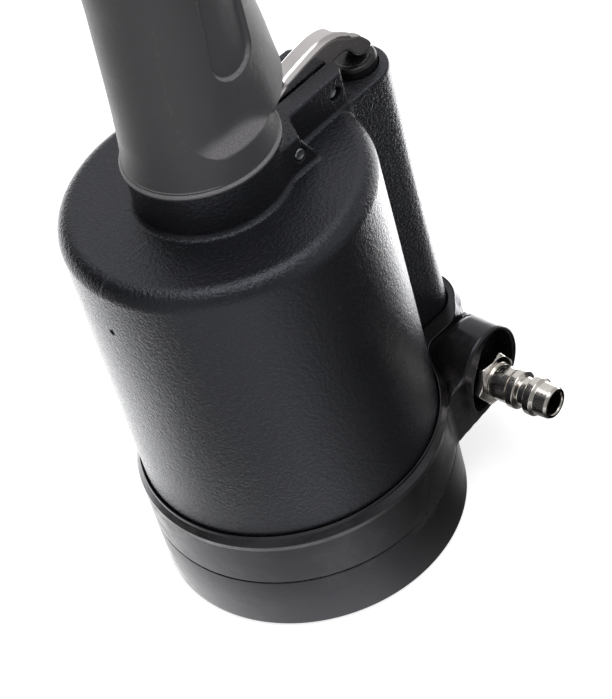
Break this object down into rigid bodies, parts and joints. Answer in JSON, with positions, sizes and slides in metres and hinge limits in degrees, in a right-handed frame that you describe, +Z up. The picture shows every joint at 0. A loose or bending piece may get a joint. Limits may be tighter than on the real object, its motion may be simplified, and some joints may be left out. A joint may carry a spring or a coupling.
{
  "type": "pneumatic hand pump",
  "caption": "Hand-held air-operated pump: large air cylinder with valve housing and inlet plug, oval grip around a slim pump barrel, chrome thumb lever, hose barb on top.",
  "frame": {"origin": "centre of the underside of the base, on the axis of the air cylinder", "axes": "+Z up along the cylinder and grip, +X from the cylinder axis to the valve housing and lever, -Y the air inlet side"},
  "size_m": [0.1317, 0.1177, 0.342],
  "materials": {
    "cast_black": "fine-textured satin black powder coat on an aluminium casting",
    "base_black": "moulded gloss black with fine scuffs",
    "black_rubber": "matte",
    "seal_rubber": "smooth matte",
    "machined_aluminium": "turned",
    "turned_steel": "turned",
    "spring_steel": "drawn wire",
    "blackened_steel": "black oxide",
    "grip_grey": "fine-grained dark grey moulding",
    "brass": "turned",
    "copper": "soft annealed copper",
    "nickel": "warm nickel plate",
    "chrome": "polished chrome plate",
    "button_plastic": "smooth satin black"
  },
  "bodies": {
    "housing": {"cylinder_body": "cast_black", "base_ring": "base_black", "base_cup": "base_black", "foot_pad": "black_rubber", "end_plate": "machined_aluminium", "end_plate_oring": "seal_rubber", "retaining_ring": "spring_steel", "piston_bumper": "black_rubber", "socket_gasket": "seal_rubber", "grip_sleeve": "grip_grey", "pump_barrel": "turned_steel", "rod_gland": "brass", "gland_seal": "seal_rubber", "grip_nut": "blackened_steel", "pump_head": "machined_aluminium", "hose_barb": "brass", "pivot_pin": "turned_steel", "stop_pin": "turned_steel", "valve_sleeve": "brass", "inlet_plug": "nickel", "plug_washer": "copper", "inlet_bush": "brass", "inlet_screen": "turned_steel", "valve_spring": "spring_steel", "return_spring": "spring_steel", "check_spring": "spring_steel"},
    "thumb_lever": {"lever": "chrome"},
    "valve_slider": {"valve_button": "button_plastic", "valve_stem": "turned_steel", "stem_oring_lower": "seal_rubber", "stem_oring_upper": "seal_rubber"},
    "piston_train": {"air_piston": "machined_aluminium", "piston_seal": "seal_rubber", "piston_rod": "chrome", "rod_nut": "turned_steel", "plunger_head": "brass", "cup_seal": "seal_rubber"},
    "check_valve": {"check_ball": "turned_steel"}
  },
  "joints": [
    {"name": "lever_pivot", "type": "hinge", "parent": "housing", "child": "thumb_lever", "pos_m": [0.0193, 0, 0.1536], "axis": [0, 1, 0], "range_deg": [0, 5.2]},
    {"name": "valve_slide", "type": "slide", "parent": "housing", "child": "valve_slider", "axis": [0, 0, -1], "range_m": [0, 0.0042], "deforming": ["valve_spring"]},
    {"name": "piston_slide", "type": "slide", "parent": "housing", "child": "piston_train", "axis": [0, 0, 1], "range_m": [0, 0.06], "deforming": ["return_spring"]},
    {"name": "check_slide", "type": "slide", "parent": "housing", "child": "check_valve", "axis": [0, 0, 1], "range_m": [0, 0.0015], "deforming": ["check_spring"]}
  ],
  "couplings": [
    {"joint": "valve_slide", "follows": "lever_pivot", "m_per_rad": 0.0457}
  ]
}
